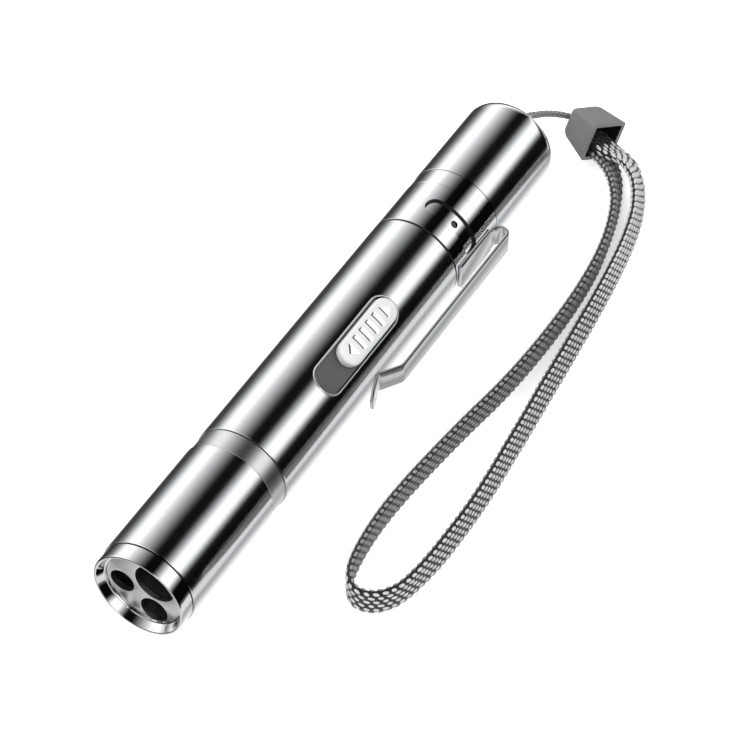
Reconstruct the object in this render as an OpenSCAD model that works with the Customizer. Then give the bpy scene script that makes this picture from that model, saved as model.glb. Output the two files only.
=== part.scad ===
// Pen torch with a slide switch, a pocket clip, a pull-off tail cap over its charging plug,
// and a wrist lanyard. It lies on its side: head towards -Y, tail towards +Y, clip at +X.

/* [Tube] */
// Outer diameter of the tube
tube_d = 15; // [14.6:0.1:16]
// Length of the closed torch, front rim to tail end
body_len = 106.5; // [106:0.5:108]
// Sheet thickness of the tube
tube_wall = 0.6; // [0.5:0.05:0.65]
// Length of the bevelled front ring
bezel_len = 2.8; // [2.6:0.1:3.2]
// Length of the head sleeve behind the front ring
head_len = 20.6; // [20:0.1:22]
// Length of the polished ring between head and body
joint_len = 3.5; // [3:0.1:4]
// Length of the body tube
barrel_len = 48.6; // [48:0.1:49]
// Length of the neck that carries the clip band
neck_len = 12.3; // [12:0.1:12.6]

/* [Front face] */
// Radius of the face plate's visible part
face_r = 6.05; // [5.9:0.05:6.1]
// Depth of the face plate below the rim
face_depth = 1.5; // [1.2:0.1:1.8]
// Radius of the white lamp's hole
lamp_hole_r = 3.2; // [2.8:0.1:3.2]
// Radius of the ultraviolet lamp's hole
uv_hole_r = 2.2; // [1.9:0.1:2.2]
// Radius of the laser's hole
laser_hole_r = 1.95; // [1.6:0.05:2]

/* [Switch] */
// Angle of the switch round the tube, from the top towards the clip
switch_angle = 38; // [30:1:45]
// Distance of the slot's head end from the front rim
slot_start = 41.2; // [41:0.1:42]
// Length of the slot's opening
slot_len = 20; // [19.8:0.1:20.2]
// Width of the slot's opening
slot_w = 4.8; // [4.6:0.1:5]
// Length of the button
button_len = 13.6; // [13:0.1:13.8]
// Width of the button
button_w = 4.1; // [3.8:0.1:4.2]
// Height of the button's crown above the tube
button_rise = 0.7; // [0.4:0.1:0.9]
// Travel of the button towards the head
switch_travel = 5.8; // [4:0.1:5.8]

/* [Clip] */
// Width of the clip's arm
clip_w = 3.56; // [3:0.02:4]
// Sheet thickness of the clip
clip_t = 0.5; // [0.4:0.05:0.5]
// Distance of the arm's outer face from the tube's axis
clip_reach = 10.6; // [10.5:0.1:10.8]
// Angle that the window between the hoops spans
window_span = 88; // [70:1:100]
// Largest opening of the clip, in degrees
clip_opening = 7; // [4:1:8]

/* [Charging plug] */
// Width of the plug's shell
plug_w = 12; // [11.9:0.1:12]
// Thickness of the plug's shell
plug_t = 4.5; // [4.4:0.1:4.5]
// Length of the plug that stands out of the neck
plug_out = 12; // [11.5:0.1:12]

/* [Lanyard] */
// Diameter of the thin cord through the tail
cord_d = 0.55; // [0.4:0.05:0.6]
// Width of the flat strap
strap_w = 4.6; // [4.2:0.1:4.8]
// Thickness of the flat strap
strap_t = 1.2; // [1:0.1:1.4]

/* [Hidden] */
$fn = 96;

eps = 0.01;       // overshoot of a cutter past the face it opens
fit = 0.03;       // gap between pieces pushed together
slip = 0.1;       // gap between pieces that slide on each other

// Tube
tube_r = tube_d / 2;
ring_r = tube_r - 0.2;
bore_r = tube_r - tube_wall;
rim_round = 0.35;
rim_lip = 0.15;
joint_start = bezel_len + head_len;
barrel_start = joint_start + joint_len;
neck_start = barrel_start + barrel_len;
tail_start = neck_start + neck_len;
spigot_len = 3.5;
spigot_wall = 0.55;
spigot_r = bore_r - fit;

// The clip stands out at +X, so the tube's axis lies off the box's centre
axis_x = (tube_r - clip_reach) / 2;
axis_y = -body_len / 2;

// Front face
plate_r = face_r + 0.3;
plate_t = 0.9;
plate_end = face_depth + plate_t;
lamp_x = 1.95;
lamp_z = 2.2;
uv_x = 1.55;
uv_z = -3.65;
laser_x = -3.5;
laser_z = -0.4;
led_r = 2.5;
led_flange_r = 2.9;
uv_r = 1.5;
uv_flange_r = 1.9;
flange_t = 1;
leg_r = 0.25;
leg_pitch = 2.54;
dome_tip = plate_end + 0.6;
holder_end = 11.5;
flange_start = holder_end - flange_t - 1.6;
laser_r = 2.3;
laser_front = plate_end + 0.8;
laser_end = holder_end;
aperture_r = 1.2;
laser_bore_r = 1.7;
led_board_start = holder_end + 0.3;
led_board_t = 1;

// Battery, behind the lamp board
cell_r = 5;
cell_start = 14.2;
cell_len = 24;
cell_end = cell_start + cell_len;
tab_t = 0.2;
wire_r = 0.35;
wire_ring_r = 5.75;

// Boards and switch, in the plane that faces the switch
board_t = 1;
board_w = 11;
board_start = 40;
chassis_start = board_start + 8;
chassis_len = neck_start - spigot_len - chassis_start - 0.5;
switch_body_w = 3.6;
switch_body_h = 2.7;
switch_body_len = 12;
stem_pos = 56;            // distance of the button's stem from the front rim at rest
stem_len = 3;
stem_w = 1.2;
tray_low = 5;
tray_floor = 6.7;
tray_w = 7;
lever_low = board_t / 2 + switch_body_h + fit;
lever_top = lever_low + 0.7;
slot_mid = slot_start + slot_len / 2;
button_start = slot_start + slot_len - 0.3 - button_len;
button_low = tray_floor + slip;
button_r = tube_r + button_rise;
mark_rise = 0.14;

// Neck
under_band_r = tube_r - 0.45;
collar_r = tube_r - 0.1;
band_len = 9.2;
neck_bore_r = plug_w / 2 + 0.48;
neck_end = tail_start + spigot_len;
neck_wall_t = 3;
indicator_pos = neck_start + 4.4;
indicator_r = 0.6;

// Charging plug
shell_t = 0.35;
plug_end = neck_end + plug_out;
plug_start = plug_end - 18.8;
tongue_t = 1.8;

// Clip
hoop_len = 3;
band_in_r = under_band_r + fit;
band_out_r = tube_r - 0.02;
window_len = band_len - 2 * hoop_len;
clip_angle = 90;
tab_w = 4.4;
tab_out = 8.2;
bend_r = (clip_reach - tab_out + clip_t) / 2;
bend_x = tab_out - clip_t + bend_r;
bend_pos = neck_start + 9.8;
bend_gap = 9;             // half of the angle left open where the arm pivots on the bend
knee_pos = 54.4;
foot_pos = 51.2;
foot_reach = 8.35;
tip_pos = 46.7;
tip_reach = 9.9;

// Tail
cap_end_t = 2.4;
cap_round = 2.3;
recess_r = 2.2;
pin_r = 0.5;
pin_pos = body_len - 0.9;
liner_start = neck_end + 0.3;
liner_end = body_len - cap_end_t - slip;

// Lanyard cap: its open face's centre, heading, roll and size
cap_pos = [9.62, 62.02, 4.52];
cap_heading = 154;
cap_roll = 22;
cap_l = 6.8;
cap_w = 6.7;
cap_h = 6.8;
cap_wall = 0.6;
pocket_l = 4.2;

// Centre line of the thin cord: out of the lanyard cap, round the pin and back
cord_route = [
    [4.9, 64.33, 4.75], [3.9, 64.6, 4.85], [2.54, 63.87, 5.25], [1.31, 63.02, 5.79],
    [-0.08, 61.6, 6.46], [-1.26, 59.78, 7.13], [-2.13, 58.09, 7.62], [-1.2, 56.2, 7.95],
    [-1.5, 54.6, 8.25], [-1.55, 53.4, 8.5], [-1.55, 52.35, 8.6], [-1.55, 51.57, 8.28],
    [-1.55, 51.25, 7.5], [-1.55, 51.57, 6.72], [-1.55, 52.35, 6.4], [-1.55, 53.4, 6.5],
    [-1.5, 54.6, 6.8], [-1.2, 56.2, 7.05], [-2.13, 58.09, 6.78], [-1.26, 59.78, 6.37],
    [-0.08, 61.6, 5.74], [1.31, 63.02, 5.11], [2.54, 63.87, 4.65], [3.9, 64.6, 4.35],
    [4.9, 64.33, 4.3]
];

// Centre line of the strap with its roll about that line: 90 stands on edge, 0 and 180 lie flat
strap_route = [
    [6.75, 62.73, 2.45, 22], [8.05, 62.1, 2.45, 22], [9.35, 61.46, 2.43, 24],
    [11.4, 60.1, 2.4, 34], [13.6, 57.9, 2.37, 52], [15.55, 54.9, 2.37, 70], [17.4, 51, 2.37, 83],
    [19.2, 45.2, 2.37, 90], [20.5, 38.8, 2.37, 90], [21.2, 31.5, 2.37, 90], [21.4, 24, 2.37, 90],
    [21.2, 16.2, 2.37, 90], [20.6, 8.6, 2.37, 90], [19.6, 1, 2.37, 90], [18.75, -6.8, 2.37, 90],
    [18.15, -13.8, 2.37, 90], [17.95, -20.2, 2.37, 90], [18.3, -26, 2.37, 90],
    [19.1, -30.6, 2.37, 90], [20.3, -33.2, 2.37, 90], [22.1, -34.5, 2.37, 90],
    [24.4, -34.15, 2.37, 90], [26.1, -32.6, 2.37, 90], [27.25, -30.2, 2.37, 91],
    [28, -26, 2.39, 94], [28.4, -20.5, 2.44, 98], [28.42, -13, 2.44, 98], [28.1, -6.6, 2.44, 100],
    [27.55, -0.3, 2.45, 101], [27, 6, 2.45, 102], [26.35, 12.4, 2.45, 103],
    [25.8, 18.6, 2.45, 103], [25.15, 25.2, 2.45, 103], [24.45, 31.9, 2.45, 103],
    [23.6, 38.6, 2.45, 103], [22.5, 45.2, 2.47, 104], [20.95, 51.4, 2.55, 107],
    [18.8, 56.3, 2.8, 115], [16.5, 59.3, 3.1, 127], [14.2, 60.9, 3.5, 140], [11.85, 61.3, 3.62, 151],
    [9.53, 62.11, 3.65, 157], [8.23, 62.72, 3.65, 158], [6.93, 63.35, 3.65, 158]
];

// ---- Placing ----

// Puts a shape drawn along +Z at its distance from the front rim, on the tube's axis
module on_axis(pos = 0) {
    translate([axis_x, axis_y + pos, tube_r]) rotate([-90, 0, 0]) children();
}

// Turns +X outwards at an angle from the top of the tube; +Z still runs to the tail
module facing(angle) {
    rotate([0, 0, angle - 90]) children();
}

module at_switch(pos = 0) {
    on_axis(pos) facing(switch_angle) children();
}

module at_clip(pos = 0) {
    on_axis(pos) facing(clip_angle) children();
}

// Puts a shape at a place on the front face, given to the right and up
module on_face(x, z) {
    translate([x, -z, 0]) children();
}

// ---- Shapes ----

// Ring turned between two radii along the axis
module ring(outer, inner, len) {
    rotate_extrude() translate([inner, 0]) square([outer - inner, len]);
}

// Slot with round ends along Z, standing out along X from low to high
module stadium(low, high, width, len) {
    translate([low, 0, 0]) rotate([0, 90, 0]) linear_extrude(high - low) {
        translate([width / 2 - len / 2, 0]) circle(d = width);
        translate([len / 2 - width / 2, 0]) circle(d = width);
        square([len - width, width], center = true);
    }
}

// Box that starts at low on X and is centred on Y and Z
module block(low, high, width, len) {
    translate([low, -width / 2, -len / 2]) cube([high - low, width, len]);
}

// Lamp with a domed front, a flange and two legs, tip at z = 0
module lamp(radius, flange_radius, flange_pos) {
    intersection() {
        translate([0, 0, radius]) union() {
            sphere(radius);
            cylinder(r = radius, h = flange_pos);
        }
        cylinder(r = radius, h = flange_pos);
    }
    translate([0, 0, flange_pos]) cylinder(r = flange_radius, h = flange_t);
    leg_end = led_board_start + led_board_t - dome_tip;
    for (side = [-1, 1]) translate([side * leg_pitch / 2, 0, flange_pos])
        cylinder(r = leg_r, h = leg_end - flange_pos + 0.4, $fn = 16);
}

// Unit direction of a route at point i, from its neighbours
function heading(route, i) =
    let (
        a = route[max(i - 1, 0)],
        b = route[min(i + 1, len(route) - 1)],
        d = [b.x - a.x, b.y - a.y, b.z - a.z]
    )
    d / norm(d);

// Direction across a route at point i, carried along from its start without twisting
function side(route, i) =
    let (
        dir = heading(route, i),
        start = norm([dir.x, dir.y]) > 0.1 ? [-dir.y, dir.x, 0] : [1, 0, 0],
        last = i == 0 ? start : side(route, i - 1),
        flat = last - (last * dir) * dir
    )
    flat / norm(flat);

// Ring of points round a route's point: an oval of the given width and thickness, turned by roll
function section(route, i, width, thick, roll, sides) =
    let (
        dir = heading(route, i),
        left = side(route, i),
        across = cos(roll) * left - sin(roll) * cross(dir, left),
        face = cross(dir, across)
    )
    [for (k = [0 : sides - 1])
        let (a = 360 * (k + 0.5) / sides, p = route[i])
        [p.x, p.y, p.z] + across * width / 2 * bulge(cos(a)) + face * thick / 2 * bulge(sin(a))];

// Flattens an oval's sides so that a swept strap has square shoulders
function bulge(v) = sign(v) * min(1, abs(v) * 1.08);

module swept(route, width, thick, rolls, sides) {
    rings = len(route);
    points = [for (i = [0 : rings - 1]) each section(route, i, width, thick, rolls[i], sides)];
    walls = [for (i = [0 : rings - 2], k = [0 : sides - 1])
        let (n = (k + 1) % sides)
        each [[i * sides + k, i * sides + n, (i + 1) * sides + k],
              [i * sides + n, (i + 1) * sides + n, (i + 1) * sides + k]]];
    first = [for (k = [sides - 1 : -1 : 0]) k];
    last = [for (k = [0 : sides - 1]) (rings - 1) * sides + k];
    polyhedron(points, concat(walls, [first, last]));
}

// Insulated wire along a list of points
module wire(points) {
    swept(points, 2 * wire_r, 2 * wire_r, [for (p = points) 0], 8);
}

// ---- Head ----

module bezel_ring() {
    color("gainsboro") on_axis() rotate_extrude() polygon([
        [face_r, face_depth], [ring_r - rim_round - rim_lip, 0], [ring_r - rim_round, 0],
        [ring_r, rim_round], [ring_r, bezel_len], [spigot_r, bezel_len],
        [spigot_r, bezel_len + spigot_len], [plate_r + fit, bezel_len + spigot_len],
        [plate_r + fit, face_depth]
    ]);
}

module face_plate() {
    color("silver") on_axis(face_depth + fit) difference() {
        cylinder(r = plate_r, h = plate_t - fit);
        translate([0, 0, -eps]) {
            on_face(lamp_x, lamp_z) cylinder(r = lamp_hole_r, h = plate_t);
            on_face(uv_x, uv_z) cylinder(r = uv_hole_r, h = plate_t);
            on_face(laser_x, laser_z) cylinder(r = laser_hole_r, h = plate_t);
        }
    }
}

// Bore for one lamp: a flared mouth, the lamp's body and a seat for its flange
module lamp_bore(mouth_r, body_r, seat_r) {
    mouth = dome_tip + 1.4 - plate_end;
    translate([0, 0, plate_end - eps]) rotate_extrude()
        polygon([[0, 0], [mouth_r, 0], [body_r + fit, mouth], [0, mouth]]);
    translate([0, 0, plate_end]) cylinder(r = body_r + fit, h = flange_start - plate_end + eps);
    translate([0, 0, flange_start]) cylinder(r = seat_r + fit, h = holder_end - flange_start + eps);
}

module optic_holder() {
    color("#181818") on_axis() difference() {
        translate([0, 0, plate_end + fit]) cylinder(r = plate_r, h = holder_end - plate_end - fit);
        on_face(lamp_x, lamp_z) lamp_bore(lamp_hole_r, led_r, led_flange_r);
        on_face(uv_x, uv_z) lamp_bore(uv_hole_r, uv_r, uv_flange_r);
        on_face(laser_x, laser_z) translate([0, 0, plate_end])
            cylinder(r = laser_r + fit, h = holder_end - plate_end + eps);
    }
}

module white_led() {
    color("#dfe3e6") on_axis(dome_tip) on_face(lamp_x, lamp_z)
        lamp(led_r, led_flange_r, flange_start + fit - dome_tip);
}

module uv_led() {
    color("#6f6a8a") on_axis(dome_tip) on_face(uv_x, uv_z)
        lamp(uv_r, uv_flange_r, flange_start + fit - dome_tip);
}

module laser_barrel() {
    color("#2a2a2c") on_axis(laser_front) on_face(laser_x, laser_z) difference() {
        cylinder(r = laser_r, h = laser_end - laser_front);
        translate([0, 0, -eps]) cylinder(r = aperture_r, h = 1);
        translate([0, 0, 0.6]) cylinder(r = laser_bore_r, h = laser_end - laser_front);
    }
}

module laser_lens() {
    color("#a9c4d6") on_axis(laser_front + 0.6 + fit) on_face(laser_x, laser_z) intersection() {
        cylinder(r = laser_bore_r - fit, h = 1.2);
        translate([0, 0, 3]) sphere(3);
    }
}

module laser_diode() {
    color("#c9a24a") on_axis(laser_front + 3.2) on_face(laser_x, laser_z) {
        cylinder(r = laser_bore_r - fit, h = 1.2);
        translate([0, 0, -1.2]) cylinder(r = 1.2, h = 1.3);
        for (side = [-1, 1]) translate([side * 0.7, 0, 1])
            cylinder(r = leg_r, h = led_board_start + led_board_t - laser_front - 3.8, $fn = 16);
    }
}

module led_board() {
    // Holes for the lamps' and the laser's legs
    color("#1d5a34") on_axis(led_board_start) difference() {
        cylinder(r = plate_r, h = led_board_t);
        for (side = [-1, 1]) {
            on_face(lamp_x + side * leg_pitch / 2, lamp_z) leg_hole();
            on_face(uv_x + side * leg_pitch / 2, uv_z) leg_hole();
            on_face(laser_x + side * 0.7, laser_z) leg_hole();
        }
    }
}

module leg_hole() {
    translate([0, 0, -eps]) cylinder(r = leg_r + fit, h = led_board_t + 2 * eps, $fn = 16);
}

module head_sleeve() {
    color("lightgray") on_axis(bezel_len + fit) ring(tube_r, bore_r, head_len - fit);
}

module joint_ring() {
    color("gainsboro") on_axis(joint_start) {
        translate([0, 0, fit]) ring(ring_r, bore_r - spigot_wall, joint_len - fit);
        translate([0, 0, -spigot_len]) ring(spigot_r, bore_r - spigot_wall, joint_len + 2 * spigot_len);
    }
}

// ---- Power ----

module battery_cell() {
    color("#3a62a8") on_axis(cell_start) cylinder(r = cell_r, h = cell_len);
}

module battery_tabs() {
    color("#c8c8c4") {
        on_axis(cell_start - tab_t - fit) translate([-1.5, -3.5, 0]) cube([3, 8, tab_t]);
        on_axis(cell_end + fit) translate([-1.5, -2, 0]) cube([3, 4, tab_t]);
    }
}

module battery_lead_pos() {
    tab_top = cell_end + tab_t + wire_r + 3 * fit;
    color("#c02020") on_axis() facing(switch_angle) wire([
        [1.5, 0.3, tab_top], [-0.6, 1.6, tab_top + 0.1], [-2.2, 2.9, tab_top + 1.2],
        [-2.2, 2.9, board_start + 3], [-board_t / 2 - wire_r - fit, 2.9, board_start + 5.5]
    ]);
}

// Wire from the space before the cell, past the cell's side, to the back of the main board
module long_wire(offset, start) {
    out = sqrt(wire_ring_r * wire_ring_r - offset * offset);
    on_axis() facing(switch_angle) wire([
        [0.6 - out, offset, start], [0.1 - out, offset, start + 1], [-out, offset, start + 2.2],
        [-out, offset, cell_end], [-out / 2, offset, board_start + 1.6],
        [-board_t / 2 - wire_r - fit, offset, board_start + 4.5]
    ]);
}

module battery_lead_neg() {
    color("#202020") long_wire(4.3, cell_start - 0.9);
}

module lamp_leads() {
    // One lead for each lamp
    color("#c9c9c0") for (i = [-1 : 1]) long_wire(i * 1.5, led_board_start + led_board_t + 3 * fit);
}

// ---- Boards and switch ----

module chassis() {
    // Cradle under the main board, open towards the switch, with a ledge along each side
    color("#26282b") at_switch(chassis_start) {
        intersection() {
            ring(spigot_r - fit, spigot_r - 1.1, chassis_len);
            translate([-tube_r, -tube_r, 0]) cube([tube_r + board_t / 2 + 1, tube_d, chassis_len]);
        }
        for (side = [-1, 1]) translate([-board_t / 2 - 1.2, side * 5.2 - 0.6, 0])
            cube([1.2 - fit, 1.2, chassis_len]);
    }
}

module main_board() {
    color("#1f6b3a") at_switch((board_start + plug_start) / 2)
        block(-board_t / 2, board_t / 2, board_w - 0.6, plug_start - board_start - 2 * fit);
}

module charge_chip() {
    color("#161616") at_switch(board_start + 30) {
        block(board_t / 2 + fit, board_t / 2 + 1.4, 3.9, 4.9);
        for (side = [-1, 1], i = [-1.5 : 1 : 1.5]) translate([board_t / 2 + fit, side * 2.35, i * 1.27])
            block(0, 0.3, 0.9, 0.4);
    }
}

module board_passives() {
    color("#b9ab8c") for (i = [0 : 4]) at_switch(board_start + 3 + i * 1.6) translate([0, 4, 0])
        block(board_t / 2 + fit, board_t / 2 + 0.6, 1.6, 0.8);
    color("#b9ab8c") for (i = [0 : 2]) at_switch(board_start + 36 + i * 2) translate([0, -3.6, 0])
        block(board_t / 2 + fit, board_t / 2 + 0.6, 1.6, 0.8);
}

module slide_switch() {
    color("#9a9ca0") at_switch(stem_pos - switch_travel / 2) {
        block(board_t / 2 + fit, board_t / 2 + switch_body_h, switch_body_w, switch_body_len);
        for (side = [-1, 1], i = [-1 : 1]) translate([0, side * (switch_body_w / 2 + 0.35), i * 3])
            block(board_t / 2 + fit, board_t / 2 + 0.5, 0.7, 0.6);
    }
}

module switch_lever() {
    color("#101010") at_switch(stem_pos) {
        block(lever_low, lever_low + 0.3, 2.4, 3.4);
        block(lever_low + 0.2, lever_top + 0.5, 1.2, 1.2);
    }
}

module switch_carrier() {
    // Plate that slides under the tray, forked over the lever, with the stem to the button
    color("#2f3134") at_switch(stem_pos) {
        difference() {
            block(lever_top - 0.2, tray_low - slip, 4.6, 6);
            block(lever_top - 0.3, lever_top + 0.5 + fit, 1.2 + 2 * fit, 1.2 + 2 * fit);
        }
        block(tray_low - slip - eps, button_low - fit, stem_w, stem_len);
    }
}

module switch_tray() {
    stem_slot = stem_len + switch_travel + 0.8;
    color("#56585a") difference() {
        union() {
            at_switch(slot_mid) intersection() {
                block(tray_low, tray_low + 0.75, tray_w, slot_len + 5);
                translate([0, 0, -slot_len]) cylinder(r = spigot_r - fit, h = 2 * slot_len);
            }
            at_switch(slot_mid) stadium(tray_low + 0.7, tray_floor, slot_w - 0.2, slot_len - 0.2);
        }
        at_switch(stem_pos - switch_travel / 2)
            block(tray_low - eps, tray_floor + eps, stem_w + 0.5, stem_slot);
    }
}

// Marks on the button: an arrow at each end and four bars between
module button_marks() {
    bar_pitch = 1.75;
    for (i = [-1.5 : 1 : 1.5]) translate([0, 0, i * bar_pitch])
        block(tube_r - 1, tube_r + 2, 2.45, 0.75);
    for (end = [-1, 1]) translate([tube_r - 1, 0, 0]) rotate([0, 90, 0]) linear_extrude(3)
        polygon([[end * 4.15, -1.15], [end * 4.15, 1.15], [end * 5.35, 0]]);
}

module switch_button() {
    color("whitesmoke") at_switch(button_start + button_len / 2) {
        intersection() {
            stadium(button_low, tube_r + 2, button_w, button_len);
            translate([0, 0, -button_len]) cylinder(r = button_r, h = 2 * button_len);
        }
        intersection() {
            button_marks();
            translate([0, 0, -button_len]) ring(button_r + mark_rise, button_r - 0.3, 2 * button_len);
        }
    }
}

module body_tube() {
    // The slot's edge is drawn up into a narrow bead
    bead_w = 0.28;
    bead_rise = 0.1;
    color("lightgray") difference() {
        union() {
            on_axis(barrel_start + fit) ring(tube_r, bore_r, barrel_len - 2 * fit);
            at_switch(slot_mid) intersection() {
                stadium(bore_r - 1, tube_r + 1, slot_w + 2 * bead_w, slot_len + 2 * bead_w);
                translate([0, 0, -slot_len]) ring(tube_r + bead_rise, bore_r, 2 * slot_len);
            }
        }
        at_switch(slot_mid) stadium(bore_r - 2, tube_r + 2, slot_w, slot_len);
    }
}

// ---- Neck and clip ----

module neck_sleeve() {
    color("gainsboro") difference() {
        on_axis(neck_start) {
            translate([0, 0, -spigot_len]) ring(spigot_r, neck_bore_r - 0.12, spigot_len);
            ring(under_band_r, neck_bore_r, band_len);
            translate([0, 0, band_len]) ring(collar_r, neck_bore_r, neck_len - band_len);
            translate([0, 0, neck_len - eps]) ring(bore_r - slip, neck_bore_r, spigot_len);
            // Rear wall, closed round the plug
            translate([0, 0, neck_end - neck_start - neck_wall_t])
                cylinder(r = neck_bore_r + eps, h = neck_wall_t);
        }
        at_switch(neck_end)
            block(-plug_t / 2 - fit, plug_t / 2 + fit, plug_w + 2 * fit, 3 * neck_wall_t);
        at_switch(indicator_pos) rotate([0, 90, 0]) cylinder(r = indicator_r, h = tube_d, $fn = 48);
    }
}

module indicator_led() {
    color("#e8e4c8") at_switch(indicator_pos) block(board_t / 2 + fit, board_t / 2 + 0.8, 0.8, 1.6);
}

module indicator_lens() {
    lens_low = board_t / 2 + 1;
    color("#303438") at_switch(indicator_pos) translate([lens_low, 0, 0]) rotate([0, 90, 0])
        cylinder(r = indicator_r - fit, h = under_band_r - 0.25 - lens_low, $fn = 48);
}

module usb_shell() {
    shell_len = plug_end - plug_start;
    color("gainsboro") at_switch(plug_start + shell_len / 2) difference() {
        block(-plug_t / 2, plug_t / 2, plug_w, shell_len);
        block(-plug_t / 2 + shell_t, plug_t / 2 - shell_t, plug_w - 2 * shell_t, shell_len + 2 * eps);
        for (side = [-1, 1]) translate([0, side * 2.7, 4]) block(-plug_t, plug_t, 2.2, 2.2);
    }
}

module usb_tongue() {
    inner_x = plug_t / 2 - shell_t - fit;
    inner_w = plug_w - 2 * shell_t - 2 * fit;
    color("white") at_switch(plug_start) {
        translate([0, 0, 3]) block(-inner_x, inner_x, inner_w, 5.8);
        translate([0, 0, 10.9]) block(-inner_x, tongue_t - inner_x, inner_w - 0.2, 14);
    }
}

module usb_contacts() {
    color("gold") at_switch(plug_start + 13) for (side = [-1, 1], pos = [1, 3.5])
        translate([0, side * pos, 0]) block(tongue_t - plug_t / 2 + shell_t + 2 * fit,
            tongue_t - plug_t / 2 + shell_t + 2 * fit + 0.12, 1, 8);
}

// Quarter of the clip's bend between two angles from the arm's side, seen across the clip
module bend_part(from, to, width) {
    rotate([90, 0, 0]) linear_extrude(width, center = true) intersection() {
        difference() {
            circle(bend_r);
            circle(bend_r - clip_t);
        }
        polygon([[0, 0], 3 * [cos(from), sin(from)], 3 * [cos((from + to) / 2), sin((from + to) / 2)],
            3 * [cos(to), sin(to)]]);
    }
}

module clip_band() {
    hoop_mid_r = (band_in_r + band_out_r) / 2;
    window_mid = neck_start + band_len / 2;
    end_angle = window_span / 2 - asin(window_len / 2 / hoop_mid_r);
    color("silver") {
        difference() {
            on_axis(neck_start + fit) ring(band_out_r, band_in_r, band_len - 2 * fit);
            // Window between the hoops, with round ends
            on_axis(window_mid) facing(switch_angle - end_angle)
                rotate_extrude(angle = 2 * end_angle) translate([band_in_r - 1, -window_len / 2])
                    square([2, window_len]);
            for (side = [-1, 1]) on_axis(window_mid) facing(switch_angle + side * end_angle)
                rotate([0, 90, 0]) cylinder(d = window_len, h = tube_d, $fn = 48);
            // Split opposite the clip, which lets the hoops spring over the neck
            at_clip(window_mid) rotate([0, 0, 180]) block(0, tube_d, 0.8, 2 * band_len);
        }
        // Tab that carries the arm, and the bend's first half
        at_clip(neck_start + fit) difference() {
            translate([tube_r - 0.6, -tab_w / 2, 0])
                cube([tab_out - tube_r + 0.6, tab_w, band_len - 2 * fit]);
            translate([0, 0, -eps]) cylinder(r = band_out_r - 0.02, h = band_len);
        }
        at_clip(neck_start + band_len - fit) translate([tab_out - clip_t, -tab_w / 2, -eps])
            cube([clip_t, tab_w, bend_pos - neck_start - band_len + fit + eps]);
        at_clip(bend_pos) translate([bend_x, 0, 0]) bend_part(180, 90 + bend_gap, clip_w);
    }
}

// Arm, ramp and foot seen across the clip: distance from the axis against distance from the rim
module arm_outline() {
    ramp = [foot_reach - clip_reach, foot_pos - knee_pos];
    flare = [tip_reach - foot_reach, tip_pos - foot_pos];
    ramp_in = clip_t * [ramp.y, -ramp.x] / norm(ramp);
    flare_in = clip_t * [flare.y, -flare.x] / norm(flare);
    polygon([
        [clip_reach, bend_pos], [clip_reach, knee_pos], [foot_reach, foot_pos], [tip_reach, tip_pos],
        [tip_reach, tip_pos] + flare_in, [foot_reach, foot_pos] + (ramp_in + flare_in) * 0.56,
        [clip_reach - clip_t, knee_pos + 0.17], [clip_reach - clip_t, bend_pos]
    ]);
}

module clip_arm() {
    color("silver") {
        at_clip() intersection() {
            rotate([90, 0, 0]) linear_extrude(clip_w, center = true) arm_outline();
            // Rounds the tip of the foot
            stadium_mid = (tip_pos + bend_pos + 2) / 2;
            translate([0, 0, stadium_mid])
                stadium(tube_r, clip_reach + 1, clip_w, bend_pos + 2 - tip_pos + clip_w / 4);
        }
        at_clip(bend_pos) translate([bend_x, 0, 0]) bend_part(0, 90 - bend_gap, clip_w);
    }
}

// ---- Tail ----

module tail_cap() {
    cap_len = body_len - tail_start;
    color("lightgray") difference() {
        on_axis(tail_start + fit) rotate_extrude() {
            difference() {
                union() {
                    square([tube_r, cap_len - cap_round]);
                    square([tube_r - cap_round, cap_len - fit]);
                    translate([tube_r - cap_round, cap_len - fit - cap_round]) circle(cap_round);
                }
                translate([-tube_d, 0]) square([tube_d, body_len]);
                square([bore_r, cap_len - cap_end_t]);
            }
        }
        on_axis(body_len - cap_end_t - 1) cylinder(r = recess_r, h = cap_end_t + 2);
        on_axis(pin_pos) rotate([0, 90, 0])
            translate([0, 0, -recess_r - 1]) cylinder(r = pin_r + fit, h = 2 * recess_r + 2, $fn = 32);
    }
}

module lanyard_pin() {
    color("silver") on_axis(pin_pos) rotate([0, 90, 0])
        translate([0, 0, -recess_r - 0.9]) cylinder(r = pin_r, h = 2 * recess_r + 1.8, $fn = 32);
}

module tail_liner() {
    liner_len = liner_end - liner_start;
    color("#202224") difference() {
        on_axis(liner_start) cylinder(r = spigot_r, h = liner_len);
        at_switch(liner_start + (plug_end - liner_start) / 2)
            block(-plug_t / 2 - slip, plug_t / 2 + slip, plug_w + 2 * slip,
                plug_end - liner_start + 2 * slip);
    }
}

// ---- Lanyard ----

module lanyard_cord() {
    color("#4a4a4a") swept(cord_route, cord_d, cord_d, [for (p = cord_route) 0], 8);
}

module lanyard_strap() {
    color("#303030") swept(strap_route, strap_w, strap_t, [for (p = strap_route) p[3]], 8);
}

// Rounded block for the lanyard cap: narrower at the cord's end
module cap_block(len, mouth_w, mouth_h, end_w, end_h, round_r) {
    hull() {
        for (y = [-1, 1], z = [-1, 1]) {
            translate([0, y * (mouth_w / 2 - round_r), z * (mouth_h / 2 - round_r)]) rotate([0, 90, 0])
                cylinder(r = round_r, h = 0.5, $fn = 24);
            translate([len - round_r, y * (end_w / 2 - round_r), z * (end_h / 2 - round_r)])
                sphere(round_r, $fn = 24);
        }
    }
}

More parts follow.
